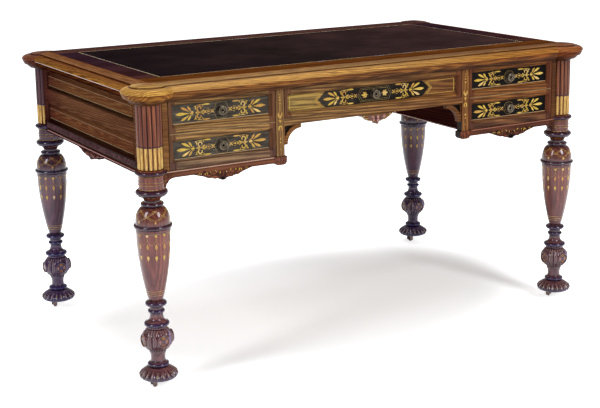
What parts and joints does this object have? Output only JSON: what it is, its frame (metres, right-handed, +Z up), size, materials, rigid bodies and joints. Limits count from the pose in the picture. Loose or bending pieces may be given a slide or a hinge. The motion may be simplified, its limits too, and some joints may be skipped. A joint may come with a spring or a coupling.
{
  "type": "writing table",
  "caption": "Free-standing writing table with a leather top, moulded edge, turned legs on castors, inlaid drawers and a kneehole.",
  "frame": {"origin": "on the floor under the middle of the table", "axes": "+X along the length towards the right of the drawer side, -Y out of the drawer side, +Z up"},
  "size_m": [1.4148, 0.856, 0.762],
  "materials": {
    "top_veneer": "polished dark rosewood veneer",
    "leather": "worn dark brown leather with a thin gilt line",
    "edge_wood": "polished golden rosewood",
    "leg_wood": "glossy red-brown rosewood",
    "gilding": "gilded wood",
    "castor_brass": "dull aged brass",
    "castor_wheel": "dull aged brass",
    "drawer_front": "polished golden rosewood",
    "ebonised_inlay": "ebonised wood with golden inlay",
    "rosewood_inlay": "rosewood with an ebonised, golden inlaid cartouche",
    "drawer_lining": "plain oiled wood",
    "knob_bronze": "dark patinated bronze",
    "carcase_rosewood": "polished rosewood",
    "panel_wood": "polished rosewood",
    "inner_wood": "polished dark rosewood",
    "upright_inlay": "rosewood with golden inlay",
    "screw_steel": "plain steel"
  },
  "bodies": {
    "table": {"top_board": "top_veneer", "leather_panel": "leather", "edge_mouldings": "edge_wood", "corner_caps": "edge_wood", "front_left_leg": "leg_wood", "front_right_leg": "leg_wood", "back_left_leg": "leg_wood", "back_right_leg": "leg_wood", "gilt_reed_strips": "gilding", "castor_sockets": "castor_brass", "left_side_frame": "carcase_rosewood", "right_side_frame": "carcase_rosewood", "back_frame": "carcase_rosewood", "top_rails": "carcase_rosewood", "left_apron": "carcase_rosewood", "right_apron": "carcase_rosewood", "centre_rail": "carcase_rosewood", "kneehole_brackets": "carcase_rosewood", "side_panels": "panel_wood", "back_panels": "panel_wood", "left_inner_side": "inner_wood", "right_inner_side": "inner_wood", "left_upright": "upright_inlay", "right_upright": "upright_inlay", "bottom_boards": "drawer_lining", "drawer_runners": "drawer_lining", "top_screws": "screw_steel"},
    "upper_left_drawer": {"upper_left_drawer_front": "drawer_front", "upper_left_drawer_panel": "ebonised_inlay", "upper_left_drawer_box": "drawer_lining", "upper_left_drawer_bottom": "drawer_lining", "upper_left_drawer_knob": "knob_bronze"},
    "lower_left_drawer": {"lower_left_drawer_front": "drawer_front", "lower_left_drawer_panel": "ebonised_inlay", "lower_left_drawer_box": "drawer_lining", "lower_left_drawer_bottom": "drawer_lining", "lower_left_drawer_knob": "knob_bronze"},
    "upper_right_drawer": {"upper_right_drawer_front": "drawer_front", "upper_right_drawer_panel": "ebonised_inlay", "upper_right_drawer_box": "drawer_lining", "upper_right_drawer_bottom": "drawer_lining", "upper_right_drawer_knob": "knob_bronze"},
    "lower_right_drawer": {"lower_right_drawer_front": "drawer_front", "lower_right_drawer_panel": "ebonised_inlay", "lower_right_drawer_box": "drawer_lining", "lower_right_drawer_bottom": "drawer_lining", "lower_right_drawer_knob": "knob_bronze"},
    "centre_drawer": {"centre_drawer_front": "drawer_front", "centre_drawer_panel": "rosewood_inlay", "centre_drawer_box": "drawer_lining", "centre_drawer_bottom": "drawer_lining", "centre_drawer_knob": "knob_bronze"},
    "front_left_fork": {"front_left_castor_fork": "castor_brass"},
    "front_left_wheel": {"front_left_castor_wheel": "castor_wheel"},
    "front_right_fork": {"front_right_castor_fork": "castor_brass"},
    "front_right_wheel": {"front_right_castor_wheel": "castor_wheel"},
    "back_left_fork": {"back_left_castor_fork": "castor_brass"},
    "back_left_wheel": {"back_left_castor_wheel": "castor_wheel"},
    "back_right_fork": {"back_right_castor_fork": "castor_brass"},
    "back_right_wheel": {"back_right_castor_wheel": "castor_wheel"}
  },
  "joints": [
    {"name": "upper_left_drawer_slide", "type": "slide", "parent": "table", "child": "upper_left_drawer", "axis": [0, -1, 0], "range_m": [0, 0.38]},
    {"name": "lower_left_drawer_slide", "type": "slide", "parent": "table", "child": "lower_left_drawer", "axis": [0, -1, 0], "range_m": [0, 0.38]},
    {"name": "upper_right_drawer_slide", "type": "slide", "parent": "table", "child": "upper_right_drawer", "axis": [0, -1, 0], "range_m": [0, 0.38]},
    {"name": "lower_right_drawer_slide", "type": "slide", "parent": "table", "child": "lower_right_drawer", "axis": [0, -1, 0], "range_m": [0, 0.38]},
    {"name": "centre_drawer_slide", "type": "slide", "parent": "table", "child": "centre_drawer", "axis": [0, -1, 0], "range_m": [0, 0.38]},
    {"name": "front_left_swivel", "type": "hinge", "parent": "table", "child": "front_left_fork", "pos_m": [-0.641, -0.3615, 0.02], "axis": [0, 0, 1], "continuous": true},
    {"name": "front_left_roll", "type": "hinge", "parent": "front_left_fork", "child": "front_left_wheel", "pos_m": [-0.655, -0.3615, 0.0088], "axis": [0, -1, 0], "continuous": true},
    {"name": "front_right_swivel", "type": "hinge", "parent": "table", "child": "front_right_fork", "pos_m": [0.641, -0.3615, 0.02], "axis": [0, 0, 1], "continuous": true},
    {"name": "front_right_roll", "type": "hinge", "parent": "front_right_fork", "child": "front_right_wheel", "pos_m": [0.63508, -0.34881, 0.0088], "axis": [-0.9063, -0.4226, 0], "continuous": true},
    {"name": "back_left_swivel", "type": "hinge", "parent": "table", "child": "back_left_fork", "pos_m": [-0.641, 0.3615, 0.02], "axis": [0, 0, 1], "continuous": true},
    {"name": "back_left_roll", "type": "hinge", "parent": "back_left_fork", "child": "back_left_wheel", "pos_m": [-0.655, 0.3615, 0.0088], "axis": [0, -1, 0], "continuous": true},
    {"name": "back_right_swivel", "type": "hinge", "parent": "table", "child": "back_right_fork", "pos_m": [0.641, 0.3615, 0.02], "axis": [0, 0, 1], "continuous": true},
    {"name": "back_right_roll", "type": "hinge", "parent": "back_right_fork", "child": "back_right_wheel", "pos_m": [0.62721, 0.35907, 0.0088], "axis": [0.1736, -0.9848, 0], "continuous": true}
  ]
}
